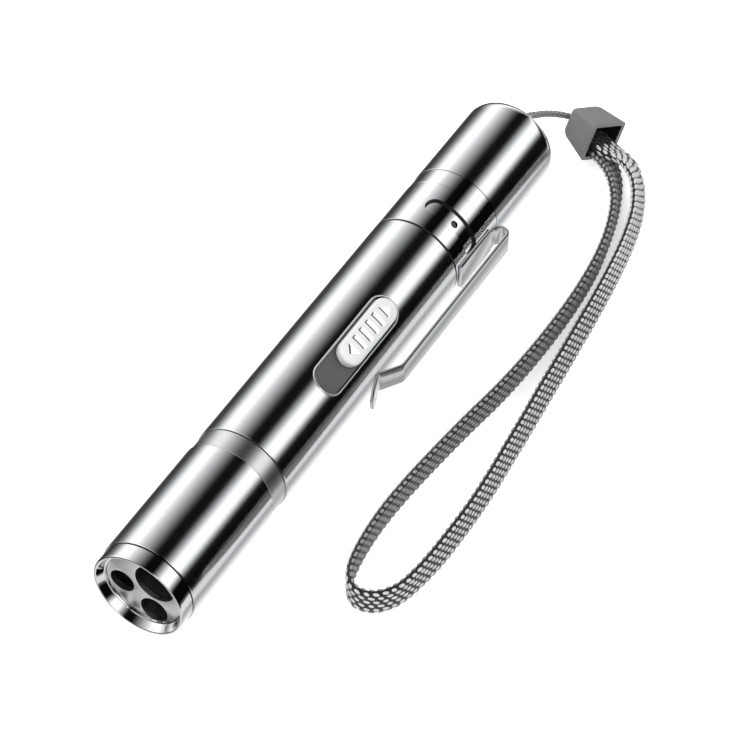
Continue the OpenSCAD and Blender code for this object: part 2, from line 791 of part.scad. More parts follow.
module lanyard_cap() {
    color("#7b7b7b") translate(cap_pos) rotate([0, 0, cap_heading]) rotate([cap_roll, 0, 0])
        difference() {
            cap_block(cap_l, cap_w, cap_h, cap_w - 1.2, cap_h - 2, 0.8);
            translate([-eps, cap_wall - cap_w / 2, cap_wall - cap_h / 2])
                cube([pocket_l, cap_w - 2 * cap_wall, cap_h - 2 * cap_wall]);
        }
}

bezel_ring();
face_plate();
optic_holder();
white_led();
uv_led();
laser_barrel();
laser_lens();
laser_diode();
led_board();
head_sleeve();
joint_ring();
battery_cell();
battery_tabs();
battery_lead_pos();
battery_lead_neg();
lamp_leads();
chassis();
main_board();
charge_chip();
board_passives();
slide_switch();
switch_lever();
switch_carrier();
switch_button();
switch_tray();
body_tube();
neck_sleeve();
indicator_led();
indicator_lens();
usb_shell();
usb_tongue();
usb_contacts();
clip_band();
clip_arm();
tail_cap();
tail_liner();
lanyard_pin();
lanyard_cord();
lanyard_cap();
lanyard_strap();
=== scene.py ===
import math

import bpy
from mathutils import Matrix, Vector


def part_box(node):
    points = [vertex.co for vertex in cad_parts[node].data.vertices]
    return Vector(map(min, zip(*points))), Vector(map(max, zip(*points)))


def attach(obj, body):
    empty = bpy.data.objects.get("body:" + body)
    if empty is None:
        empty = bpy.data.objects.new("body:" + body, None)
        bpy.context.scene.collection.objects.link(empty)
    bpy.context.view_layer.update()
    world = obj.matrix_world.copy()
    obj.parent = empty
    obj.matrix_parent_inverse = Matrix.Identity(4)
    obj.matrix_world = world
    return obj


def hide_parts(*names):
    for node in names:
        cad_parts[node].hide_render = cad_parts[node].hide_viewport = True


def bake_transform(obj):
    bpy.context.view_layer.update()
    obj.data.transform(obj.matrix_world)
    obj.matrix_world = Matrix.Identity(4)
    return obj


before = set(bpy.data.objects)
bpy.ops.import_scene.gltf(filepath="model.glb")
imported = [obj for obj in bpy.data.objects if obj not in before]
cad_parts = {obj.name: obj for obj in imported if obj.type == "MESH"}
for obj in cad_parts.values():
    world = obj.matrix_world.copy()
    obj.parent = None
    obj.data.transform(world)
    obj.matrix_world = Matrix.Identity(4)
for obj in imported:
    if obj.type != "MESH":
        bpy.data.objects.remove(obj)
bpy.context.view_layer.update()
mm = 0.001
tubeRadius = 7.5
weld = 0.000002

# the torch lies along Y: pieces are placed by their distance from the front rim and tube's axis
sleeveLow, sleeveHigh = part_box("head_sleeve")
axisX = (sleeveLow.x + sleeveHigh.x) / 2
axisZ = (sleeveLow.z + sleeveHigh.z) / 2
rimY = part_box("bezel_ring")[0].y


cameraSettings = {
    "lens": 165.36,
    "place": (0.17506, -0.28850, 0.37185),
    "turn": (42.56, 0.0, 30.67),
}
print("camera")
cameraData = bpy.data.cameras.new("camera")
cameraData.lens = cameraSettings["lens"]
cameraData.sensor_width = 36
cameraData.clip_start = 0.01
camera = bpy.data.objects.new("camera", cameraData)
bpy.context.scene.collection.objects.link(camera)
camera.location = cameraSettings["place"]
camera.rotation_euler = [math.radians(angle) for angle in cameraSettings["turn"]]
bpy.context.scene.camera = camera


def deselectAll():
    bpy.ops.object.select_all(action="DESELECT")


def editMode():
    bpy.ops.object.mode_set(mode="EDIT")


def objectMode():
    bpy.ops.object.mode_set(mode="OBJECT")


def selectMesh(choice="SELECT"):
    bpy.ops.mesh.select_all(action=choice)


def only(piece):
    deselectAll()
    piece.select_set(True)
    bpy.context.view_layer.objects.active = piece


def settle(piece):
    # the place goes into the mesh
    only(piece)
    bpy.ops.object.transform_apply(location=True, rotation=True, scale=True)


def spun(name, profile, steps=180, centre=(0.0, 0.0)):
    # a closed profile of (radius, distance from the rim) in mm, spun round a line along the tube
    cx, cz = axisX + centre[0] * mm, axisZ + centre[1] * mm
    points = [Vector((cx, rimY + h * mm, cz + r * mm)) for r, h in profile]
    deselectAll()
    bpy.ops.mesh.primitive_plane_add(size=mm, location=points[0])
    piece = bpy.context.object
    piece.name = name
    settle(piece)
    editMode()
    selectMesh()
    bpy.ops.mesh.merge(type="CENTER")
    for before, after in zip(points, points[1:] + points[:1]):
        bpy.ops.mesh.extrude_region_move(TRANSFORM_OT_translate={"value": after - before})
    selectMesh()
    bpy.ops.mesh.remove_doubles(threshold=weld)
    bpy.ops.mesh.spin(steps=steps, angle=2 * math.pi, center=(cx, 0, cz), axis=(0, 1, 0))
    selectMesh()
    bpy.ops.mesh.remove_doubles(threshold=weld)
    bpy.ops.mesh.normals_make_consistent(inside=False)
    objectMode()
    return piece


def outward(angle, h, radius):
    # lays a piece drawn flat, Z up, on the tube: X runs round the tube, Y runs to the tail
    a = math.radians(angle)
    return Matrix(
        (
            (math.cos(a), 0, math.sin(a), axisX + math.sin(a) * radius * mm),
            (0, 1, 0, rimY + h * mm),
            (-math.sin(a), 0, math.cos(a), axisZ + math.cos(a) * radius * mm),
            (0, 0, 0, 1),
        )
    )


def layOn(piece, angle, h, radius=0.0):
    piece.matrix_world = outward(angle, h, radius) @ piece.matrix_world
    settle(piece)
    return piece


def pill(name, width, length, low, high, corners=64):
    # a flat block with round ends: a drum pulled apart at its middle
    deselectAll()
    bpy.ops.mesh.primitive_cylinder_add(
        vertices=corners,
        radius=width / 2 * mm,
        depth=(high - low) * mm,
        location=(0, 0, (low + high) / 2 * mm),
        rotation=(0, 0, math.pi / corners),
    )
    piece = bpy.context.object
    piece.name = name
    settle(piece)
    for corner in piece.data.vertices:
        corner.co.y += math.copysign((length - width) / 2 * mm, corner.co.y)
    return piece


def block(name, size, place, bevel=0.0, segments=3):
    # a box in mm with rounded edges
    deselectAll()
    bpy.ops.mesh.primitive_cube_add(size=1, location=[v * mm for v in place])
    piece = bpy.context.object
    piece.name = name
    piece.scale = [v * mm for v in size]
    settle(piece)
    if bevel:
        roundEdges(piece, bevel, segments)
    return piece


def roundEdges(piece, width, segments=2, angle=30):
    only(piece)
    bevel = piece.modifiers.new("edges", "BEVEL")
    bevel.width = width * mm
    bevel.segments = segments
    bevel.limit_method = "ANGLE"
    bevel.angle_limit = math.radians(angle)
    bpy.ops.object.modifier_apply(modifier="edges")


def cut(piece, cutter, operation="DIFFERENCE"):
    only(piece)
    boolean = piece.modifiers.new("cut", "BOOLEAN")
    boolean.operation = operation
    boolean.solver = "EXACT"
    boolean.object = cutter
    bpy.ops.object.modifier_apply(modifier="cut")
    bpy.data.objects.remove(cutter)


def joined(pieces, name):
    deselectAll()
    for piece in pieces:
        piece.select_set(True)
    bpy.context.view_layer.objects.active = pieces[0]
    bpy.ops.object.join()
    pieces[0].name = name
    return pieces[0]


def newPiece(name, corners, faces):
    mesh = bpy.data.meshes.new(name)
    mesh.from_pydata(corners, [], faces)
    piece = bpy.data.objects.new(name, mesh)
    bpy.context.scene.collection.objects.link(piece)
    only(piece)
    return piece


def faceOutwards(piece):
    only(piece)
    editMode()
    selectMesh()
    bpy.ops.mesh.normals_make_consistent(inside=False)
    objectMode()


def smooth(piece, angle=30):
    only(piece)
    bpy.ops.object.shade_smooth_by_angle(angle=math.radians(angle))


def roundShading(piece):
    # faces that follow the tube are shaded as a true cylinder: holes cut in it leave no dents
    mesh = piece.data
    cosLimit = math.cos(math.radians(6))
    normals = [corner.vector.copy() for corner in mesh.corner_normals]
    for face in mesh.polygons:
        if abs(face.normal.y) > 0.01:
            continue
        for index in face.loop_indices:
            point = mesh.vertices[mesh.loops[index].vertex_index].co
            away = Vector((point.x - axisX, 0, point.z - axisZ)).normalized()
            if abs(away.dot(face.normal)) > cosLimit:
                normals[index] = away if away.dot(face.normal) > 0 else -away
    mesh.normals_split_custom_set(normals)


def toLinear(hexColour):
    values = []
    for i in (1, 3, 5):
        c = int(hexColour[i : i + 2], 16) / 255
        values.append(c / 12.92 if c <= 0.04045 else ((c + 0.055) / 1.055) ** 2.4)
    return (*values, 1)


def setStops(elements, stops):
    # a ramp's places and colours
    while len(elements) < len(stops):
        elements.new(0.5)
    for element, (place, colour) in zip(elements, stops):
        element.position = place
        element.color = toLinear(colour)


def addNode(tree, kind, settings=None, links=None, into=None):
    # settings: socket or property to value; links: socket to another node's output;
    # into: the socket that the node's first output feeds
    node = tree.nodes.new(kind)
    for key, value in (settings or {}).items():
        if key == "stops":
            setStops(node.color_ramp.elements, value)
        elif key in node.inputs:
            node.inputs[key].default_value = value
        else:
            setattr(node, key, value)
    for key, output in (links or {}).items():
        tree.links.new(output, node.inputs[key])
    if into is not None:
        tree.links.new(node.outputs[0], into)
    return node


def newMaterial(name, settings):
    material = bpy.data.materials.new(name)
    material.use_nodes = True
    tree = material.node_tree
    shader = tree.nodes["Principled BSDF"]
    for key, value in settings.items():
        shader.inputs[key].default_value = value
    return material, tree, shader


def grain(tree, size, detail=2.0):
    # an uneven pattern on object coordinates, its spots of the given size in mm along each axis
    scale = [1 / (width * mm) for width in size]
    place = addNode(tree, "ShaderNodeTexCoord").outputs["Object"]
    place = addNode(tree, "ShaderNodeMapping", {"Scale": scale}, {"Vector": place})
    place = place.outputs["Vector"]
    noise = {"Scale": 1.0, "Detail": detail}
    return addNode(tree, "ShaderNodeTexNoise", noise, {"Vector": place}).outputs["Fac"]


def surface(tree, shader, height, depth):
    # the pattern raises the surface by up to so many mm
    settings, links = {"Distance": depth * mm}, {"Height": height}
    addNode(tree, "ShaderNodeBump", settings, links, shader.inputs["Normal"])


def uneven(tree, shader, tone, shade, share, sheen, low, high):
    # one pattern shades the tone by a share, and the other moves the roughness between two values
    value = {"To Min": 1 - share, "To Max": 1 + share}
    value = addNode(tree, "ShaderNodeMapRange", value, {"Value": shade})
    addNode(
        tree,
        "ShaderNodeHueSaturation",
        {"Color": toLinear(tone)},
        {"Value": value.outputs["Result"]},
        shader.inputs["Base Color"],
    )
    rough = {"To Min": low, "To Max": high}
    addNode(tree, "ShaderNodeMapRange", rough, {"Value": sheen}, shader.inputs["Roughness"])


def steel(name, tone, roughness, lineWidth, lineDepth, wander, streak):
    # stainless steel: lines of the given width in mm run round the tube, from polishing on a lathe
    material, tree, shader = newMaterial(
        name, {"Base Color": toLinear(tone), "Metallic": 1.0, "Roughness": roughness}
    )
    lines = grain(tree, (50 / 3, lineWidth, 50 / 3), 3.0)
    low, high = roughness - wander, roughness + wander
    uneven(tree, shader, tone, lines, streak, lines, low, high)
    surface(tree, shader, lines, lineDepth)
    return material


def plastic(name, tone, roughness, grainSize=0.08, depth=0.004, mottle=0.04):
    # moulded plastic: a fine spark-eroded skin, mottled a little lighter and darker
    material, tree, shader = newMaterial(
        name, {"Base Color": toLinear(tone), "Roughness": roughness, "IOR": 1.5}
    )
    skin = grain(tree, (grainSize, grainSize, grainSize))
    cloud = grain(tree, (2.5, 2.5, 2.5))
    low, high = max(roughness - 0.06, 0.02), roughness + 0.06
    uneven(tree, shader, tone, cloud, mottle, skin, low, high)
    surface(tree, shader, skin, depth)
    return material


print("materials")
# mirror polish: reflects the studio sharply, with the faintest lines left by the buffing wheel
polishedSteel = steel("polishedStainlessSteel", "#dcdddf", 0.05, 0.12, 0.0002, 0.02, 0.02)
# ground on a lathe with fine grit: fine lines round the tube smear reflections into soft bands
brushedSteel = steel("latheBrushedStainlessSteel", "#d8d9db", 0.13, 0.1, 0.0006, 0.03, 0.12)
# blasted plate: an even satin grey with no lines
satinSteel = steel("satinBlastedSteel", "#cfd0d1", 0.3, 0.3, 0.001, 0.04, 0.03)
# strip steel, tumbled smooth after bending: reflections blur a little
clipSteel = steel("tumbledSpringSteel", "#c9cacb", 0.16, 0.2, 0.0005, 0.04, 0.03)
# nickel over stamped steel: slightly warm, softer than the polished tube
nickelPlate = steel("nickelPlatedSteel", "#cfcfc9", 0.18, 0.15, 0.0005, 0.04, 0.03)
# moulded black ABS: matt, so joints and cut edges read as dark lines
blackAbs = plastic("blackAbs", "#0d0d0e", 0.45)
# moulded grey ABS: the flat dull floor that the button slides on
trayAbs = plastic("darkGreyAbs", "#48494a", 0.5, mottle=0.02)
# silver-white ABS from a polished mould: smooth, with a soft broad highlight
buttonAbs = plastic("silverWhiteAbs", "#d2d3d4", 0.3, depth=0.001, mottle=0.015)
# pad-printed paints over the raised marks: a bright face, and a grey line beside each mark painted
# as its shadow
markWhite = plastic("whiteMarkPaint", "#fbfbfb", 0.35, depth=0.001, mottle=0.01)
markShadowTone = plastic("paintedMarkShadow", "#4c4c4d", 0.5, depth=0.001, mottle=0.02)
# soft PVC, cast in a rough mould: coarse, dull grey and a little cloudy
capRubber = plastic("greySoftPvc", "#707173", 0.55, grainSize=0.22, depth=0.02, mottle=0.06)
# black nylon: a shade lighter and waxier than the ABS
nylonBlack = plastic("blackNylon", "#1b1c1e", 0.4)
# solder mask over glass fibre: smooth green with a slight gloss
boardGreen = plastic("greenSolderMask", "#1d6338", 0.35, depth=0.002)
# moulded chip epoxy, fired ceramic and white LCP: small matt parts on the boards and plug
chipEpoxy = plastic("blackEpoxyPackage", "#17181a", 0.5)
ceramic = plastic("ceramicChips", "#b59b74", 0.5)
tongueWhite = plastic("whiteLcp", "#eceae2", 0.4)
# shrink film round the cell: glossy blue, drawn tight
cellWrap = plastic("blueShrinkWrap", "#3a62a8", 0.25, depth=0.002)
# silicone wire jackets: dull and soft, told apart by colour
redSilicone = plastic("redSiliconeWire", "#b3201f", 0.45)
blackSilicone = plastic("blackSiliconeWire", "#17171a", 0.45)
whiteSilicone = plastic("whiteSiliconeWire", "#cfcfc8", 0.45)
# smoked polycarbonate: a nearly black glossy dot until the light behind it is on
indicatorWindow = plastic("smokedPolycarbonate", "#0b0c0d", 0.12, depth=0.0005, mottle=0.01)
# phosphor in clear resin: the yellow face of an unlit light chip
chipPhosphor = plastic("yellowPhosphor", "#d8c34a", 0.6)


def goldPlate():
    # thin gold over nickel: warm, smooth and bright
    material, tree, shader = newMaterial(
        "goldFlash", {"Base Color": toLinear("#d9ad55"), "Metallic": 1.0, "Roughness": 0.2}
    )
    surface(tree, shader, grain(tree, (1 / 9, 1 / 9, 1 / 9)), 0.0005)
    return material


def blackAnodised():
    # dyed oxide on turned aluminium: nearly black, with a soft metal sheen
    material, tree, shader = newMaterial(
        "blackAnodisedAluminium",
        {"Base Color": toLinear("#232427"), "Metallic": 0.7, "Roughness": 0.35},
    )
    surface(tree, shader, grain(tree, (12.5, 1 / 9, 12.5)), 0.0015)
    return material


def lampEpoxy(name, tone):
    # clear cast epoxy over a dark cup: black when unlit, with sharp small highlights
    material, tree, shader = newMaterial(
        name,
        {
            "Base Color": toLinear(tone),
            "Roughness": 0.04,
            "IOR": 1.54,
            "Transmission Weight": 0.85,
            "Coat Weight": 0.6,
            "Coat Roughness": 0.03,
        },
    )
    surface(tree, shader, grain(tree, (5 / 3, 5 / 3, 5 / 3)), 0.001)
    return material


gold = goldPlate()
anodised = blackAnodised()
whiteLampEpoxy = lampEpoxy("clearLampEpoxy", "#3c3e42")
violetLampEpoxy = lampEpoxy("violetLampEpoxy", "#2e2b3a")
laserGlass = lampEpoxy("coatedLaserGlass", "#56688c")


def dress(piece, material, body=None, replaced=()):
    piece.data.materials.clear()
    piece.data.materials.append(material)
    if body:
        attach(piece, body)
    if replaced:
        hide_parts(*replaced)
    return piece


thinCord = {
    "diameter": 0.00055,
    "length": 0.0385,
    "exit": (-0.00155, 0.0532, 0.0085),
    "route": [
        (0.0049, 0.06433, 0.00475), (0.0039, 0.0646, 0.00485), (0.00254, 0.06387, 0.00525),
        (0.00131, 0.06302, 0.00579), (-0.00008, 0.0616, 0.00646), (-0.00126, 0.05978, 0.00713),
        (-0.00213, 0.05809, 0.00762), (-0.0012, 0.0562, 0.00795), (-0.0015, 0.0546, 0.00825),
        (-0.00155, 0.0534, 0.0085), (-0.00155, 0.05235, 0.0086), (-0.00155, 0.05157, 0.00828),
        (-0.00155, 0.05125, 0.0075), (-0.00155, 0.05157, 0.00672), (-0.00155, 0.05235, 0.0064),
        (-0.00155, 0.0534, 0.0065), (-0.0015, 0.0546, 0.0068), (-0.0012, 0.0562, 0.00705),
        (-0.00213, 0.05809, 0.00678), (-0.00126, 0.05978, 0.00637), (-0.00008, 0.0616, 0.00574),
        (0.00131, 0.06302, 0.00511), (0.00254, 0.06387, 0.00465), (0.0039, 0.0646, 0.00435),
        (0.0049, 0.06433, 0.0043),
    ],
}
strap = {
    "width": 0.0046,
    "length": 0.213,
    "exit": (0.0093, 0.0629, 0.0034),
    # place, and roll about the line: 90 stands on edge, 0 and 180 lie flat
    "route": [
        (0.00675, 0.06273, 0.00245, 22), (0.00805, 0.0621, 0.00245, 22),
        (0.00935, 0.06146, 0.00243, 24), (0.0114, 0.0601, 0.0024, 34),
        (0.0136, 0.0579, 0.00237, 52), (0.01555, 0.0549, 0.00237, 70),
        (0.0174, 0.051, 0.00237, 83), (0.0192, 0.0452, 0.00237, 90),
        (0.0205, 0.0388, 0.00237, 90), (0.0212, 0.0315, 0.00237, 90),
        (0.0214, 0.024, 0.00237, 90), (0.0212, 0.0162, 0.00237, 90),
        (0.0206, 0.0086, 0.00237, 90), (0.0196, 0.001, 0.00237, 90),
        (0.01875, -0.0068, 0.00237, 90), (0.01815, -0.0138, 0.00237, 90),
        (0.01795, -0.0202, 0.00237, 90), (0.0183, -0.026, 0.00237, 90),
        (0.0191, -0.0306, 0.00237, 90), (0.0203, -0.0332, 0.00237, 90),
        (0.0221, -0.0345, 0.00237, 90), (0.0244, -0.03415, 0.00237, 90),
        (0.0261, -0.0326, 0.00237, 90), (0.02725, -0.0302, 0.00237, 91),
        (0.028, -0.026, 0.00239, 94), (0.0284, -0.0205, 0.00244, 98),
        (0.02842, -0.013, 0.00244, 98), (0.0281, -0.0066, 0.00244, 100),
        (0.02755, -0.0003, 0.00245, 101), (0.027, 0.006, 0.00245, 102),
        (0.02635, 0.0124, 0.00245, 103), (0.0258, 0.0186, 0.00245, 103),
        (0.02515, 0.0252, 0.00245, 103), (0.02445, 0.0319, 0.00245, 103),
        (0.0236, 0.0386, 0.00245, 103), (0.0225, 0.0452, 0.00247, 104),
        (0.02095, 0.0514, 0.00255, 107), (0.0188, 0.0563, 0.0028, 115),
        (0.0165, 0.0593, 0.0031, 127), (0.0142, 0.0609, 0.0035, 140),
        (0.01185, 0.0613, 0.00362, 151), (0.00953, 0.06211, 0.00365, 157),
        (0.00823, 0.06272, 0.00365, 158), (0.00693, 0.06335, 0.00365, 158),
    ],
    "coreWidth": 4.4,
    "coreThick": 0.9,
    "columns": 12,
    "stitch": 1.25,
    "lean": 12,
    # half length, half width and brightness of a stitch, on the loop's outer and inner side: the
    # inner side's lower brightness is painted shade
    "outerStitch": (0.48, 0.27, 0.84),
    "innerStitch": (0.46, 0.24, 0.6),
    "stitchRise": 0.16,
    # the stitches close up from this share of the length on, and are painted dark as shade inside
    # the cap
    "tightFrom": 0.8,
    "tightOver": 0.06,
    "shadowInsideCap": 3.2,
}


def evenPath(route, spacing):
    # a Catmull-Rom curve through the route's points, divided evenly along its length
    points = [Vector(point) for point in route]
    points = [points[0] * 2 - points[1]] + points + [points[-1] * 2 - points[-2]]
    fine = []
    for a, b, c, d in zip(points, points[1:], points[2:], points[3:]):
        for step in range(16):
            t = step / 16
            spline = 2 * b + (c - a) * t + (2 * a - 5 * b + 4 * c - d) * t * t
            fine.append((spline + (3 * b - a - 3 * c + d) * t * t * t) / 2)
    fine.append(points[-2])
    lengths = [0.0]
    for a, b in zip(fine, fine[1:]):
        lengths.append(lengths[-1] + (b.to_3d() - a.to_3d()).length)
    count = max(2, round(lengths[-1] / spacing))
    path, i = [], 0
    for k in range(count + 1):
        goal = lengths[-1] * k / count
        while i < len(fine) - 2 and lengths[i + 1] < goal:
            i += 1
        share = (goal - lengths[i]) / max(lengths[i + 1] - lengths[i], 1e-12)
        path.append(fine[i].lerp(fine[i + 1], min(max(share, 0.0), 1.0)))
    return path, lengths[-1]


def pathFrames(path):
    # direction, side and upward vector at each point, carried along without twisting
    frames, side = [], None
    for i, point in enumerate(path):
        ahead = path[min(i + 1, len(path) - 1)].to_3d() - path[max(i - 1, 0)].to_3d()
        ahead.normalize()
        if side is None:
            side = Vector((-ahead.y, ahead.x, 0))
        side = (side - ahead * side.dot(ahead)).normalized()
        frames.append((point.to_3d(), ahead, side.copy(), ahead.cross(side)))
    return frames


def tube(name, rings):
    # a closed skin over rings of points
    sides = len(rings[0])
    points = [point for ring in rings for point in ring]
    faces = []
    for i in range(len(rings) - 1):
        for k in range(sides):
            n = (k + 1) % sides
            faces.append(
                (i * sides + k, i * sides + n, (i + 1) * sides + n, (i + 1) * sides + k)
            )
    faces.append(tuple(reversed(range(sides))))
    faces.append(tuple((len(rings) - 1) * sides + k for k in range(sides)))
    piece = newPiece(name, points, faces)
    faceOutwards(piece)
    return piece


def alongUv(piece, sides, spacing):
    # a UV map that goes once round the tube and counts millimetres along it
    layer = piece.data.uv_layers.new(name="along")
    for face in piece.data.polygons[:-2]:
        ring, k = divmod(face.index, sides)
        for index in face.loop_indices:
            vertex = piece.data.loops[index].vertex_index
            around = vertex % sides
            if k == sides - 1 and around == 0:
                around = sides
            layer.data[index].uv = (around / sides, vertex // sides * spacing)


print("lanyard cord and strap")


def cordBraid():
    # thin polyester braid: two plies laid round each other, dark grey with a dull sheen
    material, tree, shader = newMaterial(
        "greyPolyesterCord",
        {
            "Base Color": toLinear("#5b5b5d"),
            "Roughness": 0.6,
            "Sheen Weight": 0.3,
            "Sheen Roughness": 0.4,
        },
    )
    uv = addNode(tree, "ShaderNodeUVMap", {"uv_map": "along"})
    turned = addNode(
        tree, "ShaderNodeMapping", {"Scale": (2, 1.6, 1)}, {"Vector": uv.outputs["UV"]}
    )
    plies = addNode(
        tree,
        "ShaderNodeTexWave",
        {"bands_direction": "DIAGONAL", "Scale": 0.5, "Distortion": 0.3},
        {"Vector": turned.outputs["Vector"]},
    ).outputs["Fac"]
    tones = {"stops": [(0.1, "#6a6a6c"), (0.8, "#8c8c8f")]}
    addNode(tree, "ShaderNodeValToRGB", tones, {"Fac": plies}, shader.inputs["Base Color"])
    surface(tree, shader, plies, 0.04)
    return material


def buildCord():
    sides, spacing = 12, 0.25
    path, length = evenPath(thinCord["route"], spacing * mm)
    radius = thinCord["diameter"] / 2
    rings = []
    for point, ahead, side, up in pathFrames(path):
        ring = []
        for k in range(sides):
            a = 2 * math.pi * k / sides
            ring.append(point + (side * math.cos(a) + up * math.sin(a)) * radius)
        rings.append(ring)
    piece = tube("thinCord", rings)
    alongUv(piece, sides, spacing)
    smooth(piece, 60)
    dress(piece, cordBraid(), "tail", ["lanyard_cord"])
    print("thin cord", round(length, 4))


def flatOval(u, width, thick):
    # point and outward normal at distance u round a strip with half-round edges, in mm
    flat, turn = width - thick, math.pi * thick / 2
    u = u % (2 * flat + 2 * turn)
    if u < flat:
        return (u - flat / 2, thick / 2), (0.0, 1.0)
    u -= flat
    if u < turn:
        a = math.pi / 2 - u / (thick / 2)
        out = (math.cos(a), math.sin(a))
        return (flat / 2 + out[0] * thick / 2, out[1] * thick / 2), out
    u -= turn
    if u < flat:
        return (flat / 2 - u, -thick / 2), (0.0, -1.0)
    u -= flat
    a = -math.pi / 2 - u / (thick / 2)
    out = (math.cos(a), math.sin(a))
    return (-flat / 2 + out[0] * thick / 2, out[1] * thick / 2), out


def strapCore():
    # ground of the knitted strap: black yarn deep between the stitches
    material, tree, shader = newMaterial(
        "blackYarnGround",
        {"Base Color": toLinear("#0c0c0d"), "Roughness": 0.75, "Sheen Weight": 0.2},
    )
    fibres = grain(tree, (0.2, 0.2, 0.2), 3.0)
    tones = {"stops": [(0.35, "#050506"), (0.75, "#2a2a2c")]}
    addNode(tree, "ShaderNodeValToRGB", tones, {"Fac": fibres}, shader.inputs["Base Color"])
    surface(tree, shader, fibres, 0.03)
    return material


def strapStitch():
    # bright polyester yarn: each stitch is a fat loop with fine filaments and a soft sheen
    material, tree, shader = newMaterial(
        "silverWhiteYarn",
        {
            "Base Color": toLinear("#e8e8e6"),
            "Roughness": 0.5,
            "Sheen Weight": 0.35,
            "Sheen Roughness": 0.35,
        },
    )
    filaments = grain(tree, (1 / 9, 0.625, 1 / 9), 3.0)
    # the shade attribute sets each stitch's brightness, with painted shade on the loop's inner
    # side and inside the cap
    shade = addNode(tree, "ShaderNodeAttribute", {"attribute_name": "shade"}).outputs["Fac"]
    mixed = addNode(
        tree,
        "ShaderNodeMix",
        {"data_type": "RGBA", "blend_type": "MULTIPLY", "Factor": 0.4},
    )
    tones = {"stops": [(0.0, "#1b1b1c"), (0.5, "#7d7d7d"), (1.0, "#e2e2e0")]}
    addNode(tree, "ShaderNodeValToRGB", tones, {"Fac": shade}, mixed.inputs["A"])
    tones = {"stops": [(0.3, "#8a8a8a"), (0.65, "#ffffff")]}
    addNode(tree, "ShaderNodeValToRGB", tones, {"Fac": filaments}, mixed.inputs["B"])
    tree.links.new(mixed.outputs["Result"], shader.inputs["Base Color"])
    surface(tree, shader, filaments, 0.02)
    return material


def stitchShape():
    # one stitch: a coarse ball, drawn out to a low oval bead where it lies
    deselectAll()
    bpy.ops.mesh.primitive_uv_sphere_add(segments=8, ring_count=4, radius=1)
    bead = bpy.context.object
    corners = [v.co.copy() for v in bead.data.vertices]
    faces = [tuple(face.vertices) for face in bead.data.polygons]
    bpy.data.objects.remove(bead)
    return corners, faces


def buildStrap():
    path, length = evenPath(strap["route"], 0.0005)
    frames = pathFrames(path)
    core = (strap["coreWidth"], strap["coreThick"])
    perimeter = 2 * (core[0] - core[1]) + math.pi * core[1]
    rings = []
    for place, (point, ahead, side, up) in zip(path, frames):
        roll = math.radians(place[3])
        across = side * math.cos(roll) - up * math.sin(roll)
        face = ahead.cross(across)
        ring = []
        for k in range(16):
            (a, b), _ = flatOval(perimeter * k / 16, *core)
            ring.append(point + (across * a + face * b) * mm)
        rings.append(ring)
    coreSkin = tube("strapCore", rings)
    smooth(coreSkin, 60)

    corners, beadFaces = stitchShape()
    points, faces, shades = [], [], []
    rows = int(length / (strap["stitch"] * mm))
    lean = math.radians(strap["lean"])
    for row in range(rows):
        for column in range(strap["columns"]):
            stagger = 0.49 if column % 2 else 0.0
            along = (row + 0.5 + stagger) * length / (rows + 0.5)
            index = min(int(along / length * (len(path) - 1)), len(path) - 1)
            point, ahead, side, up = frames[index]
            point = point + ahead * (along - index * length / (len(path) - 1))
            roll = math.radians(path[index][3])
            across = side * math.cos(roll) - up * math.sin(roll)
            face = ahead.cross(across)
            (a, b), (na, nb) = flatOval(perimeter * (column + 0.5) / strap["columns"], *core)
            centre = point + (across * a + face * b) * mm
            out = across * na + face * nb
            sideways = ahead.cross(out)
            tall = ahead * math.cos(lean) + sideways * math.sin(lean)
            wide = sideways * math.cos(lean) - ahead * math.sin(lean)
            # stitches on the loop's inner side get a lower brightness as painted shade
            outer = nb < -0.2
            halfLength, halfWidth, shade = strap["outerStitch" if outer else "innerStitch"]
            if along / length > strap["tightFrom"]:
                close = min((along / length - strap["tightFrom"]) / strap["tightOver"], 1.0)
                halfLength += 0.16 * close
                shade = 0.84 + 0.06 * close
            # stitches within this reach of either end sit inside the cap and are painted dark as
            # shade
            if min(along, length - along) < strap["shadowInsideCap"] * mm:
                shade = 0.0
            wobble = 1 + 0.12 * math.sin(row * 2.39 + column * 1.7)
            base = len(points)
            for corner in corners:
                points.append(
                    centre
                    + tall * corner.z * halfLength * wobble * mm
                    + wide * corner.x * halfWidth * mm
                    + out * corner.y * strap["stitchRise"] * mm
                )
            faces += [tuple(base + v for v in f) for f in beadFaces]
            shades += [shade] * len(corners)
    stitches = newPiece("strapStitches", points, faces)
    layer = stitches.data.attributes.new("shade", "FLOAT", "POINT")
    layer.data.foreach_set("value", shades)
    faceOutwards(stitches)
    smooth(stitches, 80)
    dress(stitches, strapStitch(), "tail")
    dress(coreSkin, strapCore(), "tail", ["lanyard_strap"])
    print("strap", round(length, 4))
    return coreSkin, stitches, path


buildCord()
coreSkin, stitches, strapPath = buildStrap()


print("lanyard end cap")
endCap = {
    "mouth": (9.62, 62.02, 4.52),
    "heading": 154,
    "roll": 22,
    "length": 6.8,
    "mouthSize": (6.7, 6.8),
    "endSize": (5.5, 4.8),
    "wall": 0.65,
    "depth": 4.2,
    "rounding": 1.6,
}


